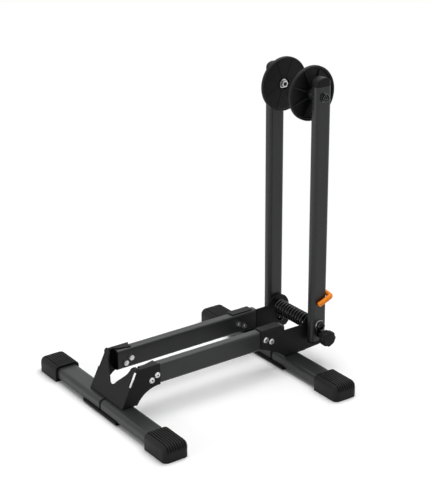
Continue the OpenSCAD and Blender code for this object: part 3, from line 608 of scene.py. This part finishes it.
def makeWelds(s):
    x, z = s["beadAt"]
    bm = bmesh.new()
    for side in (-1, 1):
        way = Vector((0, side, 0))
        ring = startBar(bm, Vector((x, side * s["beadFrom"], z)), way, s["beadRadius"], s["beadSides"])
        ring = drawOn(bm, ring, way * (s["beadTo"] - s["beadFrom"]))
        ring = drawOn(bm, ring, way * s["beadEnd"])
        swell(bm, ring, Vector((x, side * (s["beadTo"] + s["beadEnd"]), z)), s["beadEndSize"])
        bmesh.ops.contextual_create(bm, geom=ring)
    lean = Matrix.Rotation(-math.radians(s["beadLean"]), 4, "Y")
    bmesh.ops.scale(bm, verts=bm.verts, vec=(s["beadFlat"], 1, 1),
                    space=lean @ Matrix.Translation((-x, 0, -z)))
    size = Vector(s["flatTo"]) - Vector(s["flatFrom"])
    middle = (Vector(s["flatTo"]) + Vector(s["flatFrom"])) / 2
    for side in (-1, 1):
        made = bmesh.ops.create_cube(bm, size=1, matrix=Matrix.Translation((middle.x, side * middle.y, middle.z))
                                     @ Matrix.Diagonal((*size, 1)))
        edges = list({edge for vert in made["verts"] for edge in vert.link_edges})
        roundOff(bm, edges, s["flatRound"], s["flatSteps"])
    piece = finishPiece(bm, "cornerWelds", "bracket_paint")
    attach(piece, "base")


makeWelds(weldSet)


# dark discs in the sockets of the rail bolts: painted shade in their recesses

socketShadeSet = {
    "at": [(-167.0, 79.6), (-179.7, 71.7), (94.0, 79.9), (108.3, 72.7)],   # x and z in mm
    "floor": 60.3,          # y, near and far
    "radius": 2.25,
    "rise": 0.3,
    "sides": 6,
}


def makeSocketShade(s):
    bm = bmesh.new()
    for side in (-1, 1):
        way = Vector((0, side, 0))
        for x, z in s["at"]:
            ring = startBar(bm, Vector((x, side * s["floor"], z)), way, s["radius"], s["sides"])
            ring = drawOn(bm, ring, way * s["rise"])
            bmesh.ops.contextual_create(bm, geom=ring)
    # the black oxide finish here is painted shade at the bottom of each socket
    piece = finishPiece(bm, "boltSocketShade", "black_steel")
    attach(piece, "base")


makeSocketShade(socketShadeSet)
print("seam rings, welds and bolt sockets made")


# torsion spring: a tang in the far wall, the coil on the pivot rod, a leg that hooks round the near post

springSet = {
    "wireR": 2.6,           # all in mm
    "wireSides": 16,
    "coilR": 13.4,
    "coilLen": 94,
    "turns": 11,
    "stepsPerTurn": 24,
    "coilPlace": (-2.98, -4.26),   # coil axis from the pivot, along X and Z: it hangs on the rod
    "tangTipY": 59.8,
    "tangDrop": 38,         # below the pivot
    "legBend": 5,
    "hookX": 24.6,          # from the pivot, behind the post
    "hookY": 88.6,
    "hookRise": 66.5,       # above the pivot
    "hookDrop": 6.0,
    "hookBend": 5.6,
    "armLen": 30,           # free arm across the post
    "armFall": 0.37,
    "bendSteps": 10,
}
swing = next(j for j in frame["joints"] if j["name"] == "post_swing")
pivotX, _, pivotZ = (v / mm for v in swing["pos_m"])


def hookPoints(s):
    # inner corner, outer corner and tip of the hooked end
    x, top = pivotX + s["hookX"], pivotZ + s["hookRise"]
    return (Vector((x, -s["coilLen"] / 2, top)), Vector((x, -s["hookY"], top - s["hookDrop"])),
            Vector((x - s["armLen"], -s["hookY"], top - s["hookDrop"] - s["armLen"] * s["armFall"])))


def makeSpring(s):
    centre = Vector((pivotX + s["coilPlace"][0], 0, pivotZ + s["coilPlace"][1]))
    half = s["coilLen"] / 2
    inner, corner, tip = hookPoints(s)
    toHook = inner - centre
    reach = math.hypot(toHook.x, toHook.z)
    phi = math.atan2(toHook.z, toHook.x) - math.acos(s["coilR"] / reach)   # where the legs leave the coil
    leave = Vector((centre.x + s["coilR"] * math.cos(phi), 0, centre.z + s["coilR"] * math.sin(phi)))
    tangZ = pivotZ - s["tangDrop"]
    tangX = leave.x + (leave.z - tangZ) * math.tan(phi)
    tang = Vector((tangX, s["tangTipY"], tangZ))
    steps = s["turns"] * s["stepsPerTurn"]
    bm = bmesh.new()
    ring = startBar(bm, tang, Vector((0, -1, 0)), s["wireR"], s["wireSides"])
    ring = bendAlong(bm, ring, [tang, Vector((tangX, half, tangZ)), Vector((leave.x, half, leave.z))],
                     s["legBend"], s["bendSteps"])
    ring = wrapRound(bm, ring, Vector((centre.x, half, centre.z)), (0, -1, 0), 2 * math.pi * s["turns"], steps,
                     (0, -s["coilLen"] / steps, 0))
    ring = bendAlong(bm, ring, [Vector((leave.x, -half, leave.z)), inner, corner, tip],
                     s["hookBend"], s["bendSteps"])
    bmesh.ops.contextual_create(bm, geom=ring)
    piece = finishPiece(bm, "springWire", "spring_steel")
    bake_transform(piece)
    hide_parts("torsion_spring")
    return piece


spring = makeSpring(springSet)
print("spring wound:", len(spring.data.polygons), "faces")


# soft grip on the hooked end: a dipped sleeve with a rolled mouth, finger ribs and a round tip

gripSet = {
    "radius": 5.5,          # all in mm
    "sides": 24,
    "mouthY": 66,           # where the sleeve starts behind the post
    "mouth": [(0.0, 2.75), (0.1, 3.9), (0.4, 4.6), (1.0, 5.2), (1.6, 5.5)],   # distance along, radius
    "ribs": 6,
    "ribPitch": 3.0,
    "ribDip": 0.35,
    "ribShape": [(0.25, 1), (0.45, 1), (0.7, 0), (1.0, 0)],   # share of the pitch, share of the dip
    "tipOver": 2.5,         # sleeve beyond the wire's end
    "tipSteps": 5,
    "tipClose": 0.94,       # how far the tip rounds over before it ends in a small flat
    "bendSteps": 12,
}


def makeGrip(s):
    inner, corner, tip = hookPoints(springSet)
    along, arm = (corner - inner).normalized(), (tip - corner).normalized()
    at = inner + along * ((s["mouthY"] + inner.y) / -along.y)
    done, radius = s["mouth"][0]
    bm = bmesh.new()
    ring = startBar(bm, at, along, radius, s["sides"])
    for step, wide in s["mouth"][1:]:
        ring = drawOn(bm, ring, along * (step - done))
        at = at + along * (step - done)
        swell(bm, ring, at, wide / radius)
        radius, done = wide, step
    ribStart = tip - arm * (s["ribs"] * s["ribPitch"])
    ring = bendAlong(bm, ring, [at, corner, ribStart], springSet["hookBend"], s["bendSteps"])

    # from here on: where along the arm the next ring goes, and its radius
    rings = [(ribStart + arm * (s["ribPitch"] * (i + part)), s["radius"] - s["ribDip"] * dip)
             for i in range(s["ribs"]) for part, dip in s["ribShape"]]
    for i in range(1, s["tipSteps"] + 1):
        lift = math.pi / 2 * i / s["tipSteps"] * s["tipClose"]
        rings.append((tip + arm * (s["tipOver"] * math.sin(lift)), s["radius"] * math.cos(lift)))
    at = ribStart
    for goal, wide in rings:
        ring = drawOn(bm, ring, goal - at)
        swell(bm, ring, goal, wide / radius)
        at, radius = goal, wide
    bmesh.ops.contextual_create(bm, geom=ring)
    piece = finishPiece(bm, "gripSleeve", "orange_grip")
    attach(piece, "uprights")
    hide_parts("spring_grip")
    return piece


grip = makeGrip(gripSet)
print("grip made:", len(grip.data.polygons), "faces")
